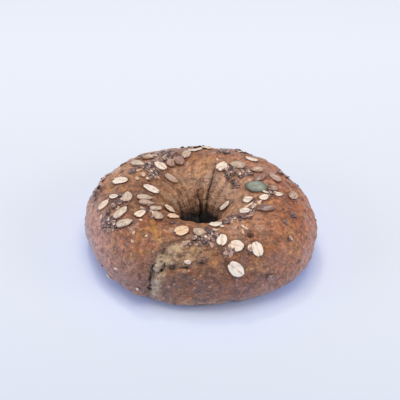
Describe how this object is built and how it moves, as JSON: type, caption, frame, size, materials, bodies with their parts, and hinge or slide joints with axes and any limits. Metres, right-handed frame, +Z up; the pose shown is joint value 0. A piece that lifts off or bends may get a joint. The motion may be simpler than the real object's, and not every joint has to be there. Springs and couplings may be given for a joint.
{
  "type": "seeded bagel",
  "caption": "Ring-shaped bread roll with a small off-centre hole and a flat underside, its crust strewn with rolled oats, kernels and seeds; food prop.",
  "frame": {"origin": "on the flat underside, below the middle of the ring's outline", "axes": "+Z up through the hole, +X along the long way of the slightly oval ring, -Y toward the side with the lapped dough seam"},
  "size_m": [0.1118, 0.1038, 0.0364],
  "materials": {
    "crust": "satin baked crust, darker on the crest and paler toward the underside",
    "oat": "dry matte rolled flake",
    "sunflower": "satin toasted kernel",
    "pumpkin": "satin grey-green kernel",
    "linseed": "glossy dark seed coat"
  },
  "bodies": {
    "root": {"bread_ring": "crust", "oat_flake_01": "oat", "oat_flake_02": "oat", "oat_flake_03": "oat", "oat_flake_04": "oat", "oat_flake_05": "oat", "oat_flake_06": "oat", "oat_flake_07": "oat", "oat_flake_08": "oat", "oat_flake_09": "oat", "oat_flake_10": "oat", "oat_flake_11": "oat", "oat_flake_12": "oat", "oat_flake_13": "oat", "oat_flake_14": "oat", "oat_flake_15": "oat", "oat_flake_16": "oat", "oat_flake_17": "oat", "oat_flake_18": "oat", "oat_flake_19": "oat", "oat_flake_20": "oat", "oat_flake_21": "oat", "oat_flake_22": "oat", "oat_flake_23": "oat", "oat_flake_24": "oat", "sunflower_kernel_01": "sunflower", "sunflower_kernel_02": "sunflower", "sunflower_kernel_03": "sunflower", "sunflower_kernel_04": "sunflower", "sunflower_kernel_05": "sunflower", "sunflower_kernel_06": "sunflower", "sunflower_kernel_07": "sunflower", "sunflower_kernel_08": "sunflower", "sunflower_kernel_09": "sunflower", "sunflower_kernel_10": "sunflower", "sunflower_kernel_11": "sunflower", "sunflower_kernel_12": "sunflower", "sunflower_kernel_13": "sunflower", "sunflower_kernel_14": "sunflower", "sunflower_kernel_15": "sunflower", "sunflower_kernel_16": "sunflower", "sunflower_kernel_17": "sunflower", "sunflower_kernel_18": "sunflower", "sunflower_kernel_19": "sunflower", "sunflower_kernel_20": "sunflower", "sunflower_kernel_21": "sunflower", "pumpkin_kernel": "pumpkin", "linseed_01": "linseed", "linseed_02": "linseed", "linseed_03": "linseed", "linseed_04": "linseed", "linseed_05": "linseed", "linseed_06": "linseed", "linseed_07": "linseed", "linseed_08": "linseed", "linseed_09": "linseed", "linseed_10": "linseed", "linseed_11": "linseed"}
  },
  "joints": []
}
